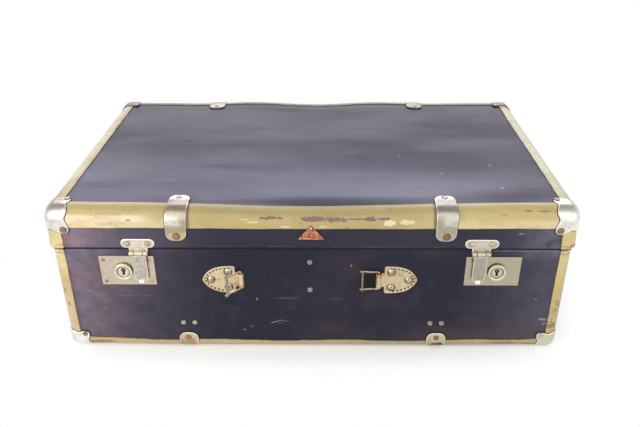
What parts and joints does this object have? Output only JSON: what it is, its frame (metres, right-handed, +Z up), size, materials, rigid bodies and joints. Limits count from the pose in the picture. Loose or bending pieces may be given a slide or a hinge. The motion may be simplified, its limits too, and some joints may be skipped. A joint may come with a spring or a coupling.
{
  "type": "hard-sided suitcase",
  "caption": "Hard-sided fibre suitcase with a hinged overlapping lid, metal corner caps and clamps, spring slide locks with hasps, and hinged loops for a carrying handle.",
  "frame": {"origin": "on the surface that the case stands on, under the middle of the case body", "axes": "+X to the right of someone facing the locks, -Y out of the front with the locks, +Z up"},
  "size_m": [0.602, 0.3859, 0.1964],
  "materials": {
    "fibre_navy": "matt navy vulcanised fibre sheet, stained and scuffed",
    "fibre_khaki": "satin khaki fibre strip, worn",
    "lining_paper": "matt paper-covered card",
    "batten_wood": "plain sawn softwood",
    "nickel_trim": "worn nickel plate on steel",
    "rivet_brown": "brown tarnished steel rivet",
    "rivet_nickel": "worn nickel plate on steel",
    "nail_brass": "tarnished brass nail",
    "anchor_steel": "plain steel plate",
    "badge_red": "red enamel on a thin brass plate",
    "lock_nickel": "brushed nickel plate on steel",
    "spring_steel": "blued spring steel",
    "handle_nickel": "warm tarnished nickel, rusty rim",
    "loop_steel": "rusty steel",
    "hinge_steel": "worn nickel plate on steel"
  },
  "bodies": {
    "base": {"base_back_panel": "fibre_navy", "base_bottom_bindings": "fibre_khaki", "base_bottom_panel": "fibre_navy", "base_cap_rivets": "rivet_brown", "base_clamp_rivets": "rivet_brown", "base_corner_bindings": "fibre_khaki", "base_corner_caps": "nickel_trim", "base_edge_clamps": "nickel_trim", "base_front_panel": "fibre_navy", "base_left_panel": "fibre_navy", "base_lining": "lining_paper", "base_right_panel": "fibre_navy", "base_rim_battens": "batten_wood", "front_wall_rivets": "rivet_nickel", "handle_rivets": "rivet_nickel", "hinge_base_leaves": "hinge_steel", "hinge_base_rivets": "rivet_nickel", "hinge_pins": "hinge_steel", "left_handle_plate": "handle_nickel", "left_lock_case": "lock_nickel", "left_lock_plate": "lock_nickel", "left_lock_spring": "spring_steel", "lock_nails": "nail_brass", "right_handle_plate": "handle_nickel", "right_lock_case": "lock_nickel", "right_lock_plate": "lock_nickel", "right_lock_spring": "spring_steel", "strap_anchors": "anchor_steel"},
    "lid": {"badge": "badge_red", "badge_nail": "nail_brass", "hasp_rivets": "rivet_nickel", "hinge_lid_leaves": "hinge_steel", "hinge_lid_rivets": "rivet_nickel", "left_hasp_anchor": "lock_nickel", "left_hasp_pin": "lock_nickel", "lid_back_panel": "fibre_navy", "lid_cap_rivets": "rivet_brown", "lid_clamp_rivets": "rivet_brown", "lid_corner_bindings": "fibre_khaki", "lid_corner_caps": "nickel_trim", "lid_edge_bindings": "fibre_khaki", "lid_edge_clamps": "nickel_trim", "lid_front_panel": "fibre_navy", "lid_left_panel": "fibre_navy", "lid_lining": "lining_paper", "lid_right_panel": "fibre_navy", "lid_top_panel": "fibre_navy", "right_hasp_anchor": "lock_nickel", "right_hasp_pin": "lock_nickel"},
    "left_hasp": {"left_hasp_leaf": "lock_nickel"},
    "right_hasp": {"right_hasp_leaf": "lock_nickel"},
    "left_slide": {"left_lock_slide": "lock_nickel"},
    "right_slide": {"right_lock_slide": "lock_nickel"},
    "left_loop": {"left_handle_loop": "loop_steel", "left_cross_pin": "loop_steel"},
    "right_loop": {"right_handle_loop": "loop_steel", "right_cross_pin": "loop_steel"}
  },
  "joints": [
    {"name": "lid_hinge", "type": "hinge", "parent": "base", "child": "lid", "pos_m": [0, 0.1845, 0.1446], "axis": [-1, 0, 0], "range_deg": [0, 100]},
    {"name": "left_hasp_hinge", "type": "hinge", "parent": "lid", "child": "left_hasp", "pos_m": [-0.1964, -0.1844, 0.1382], "axis": [-1, 0, 0], "range_deg": [0, 110]},
    {"name": "right_hasp_hinge", "type": "hinge", "parent": "lid", "child": "right_hasp", "pos_m": [0.192, -0.1844, 0.1382], "axis": [-1, 0, 0], "range_deg": [0, 110]},
    {"name": "left_lock_slide_travel", "type": "slide", "parent": "base", "child": "left_slide", "axis": [-1, 0, 0], "range_m": [0, 0.0065], "stiffness_N_per_m": 300, "springref_m": -0.005, "deforming": ["left_lock_spring"]},
    {"name": "right_lock_slide_travel", "type": "slide", "parent": "base", "child": "right_slide", "axis": [1, 0, 0], "range_m": [0, 0.0065], "stiffness_N_per_m": 300, "springref_m": -0.005, "deforming": ["right_lock_spring"]},
    {"name": "left_loop_hinge", "type": "hinge", "parent": "base", "child": "left_loop", "pos_m": [-0.0822, -0.1826, 0.1015], "axis": [0, 0, -1], "range_deg": [-140, 10]},
    {"name": "right_loop_hinge", "type": "hinge", "parent": "base", "child": "right_loop", "pos_m": [0.0778, -0.1826, 0.1015], "axis": [0, 0, 1], "range_deg": [0, 150]}
  ]
}
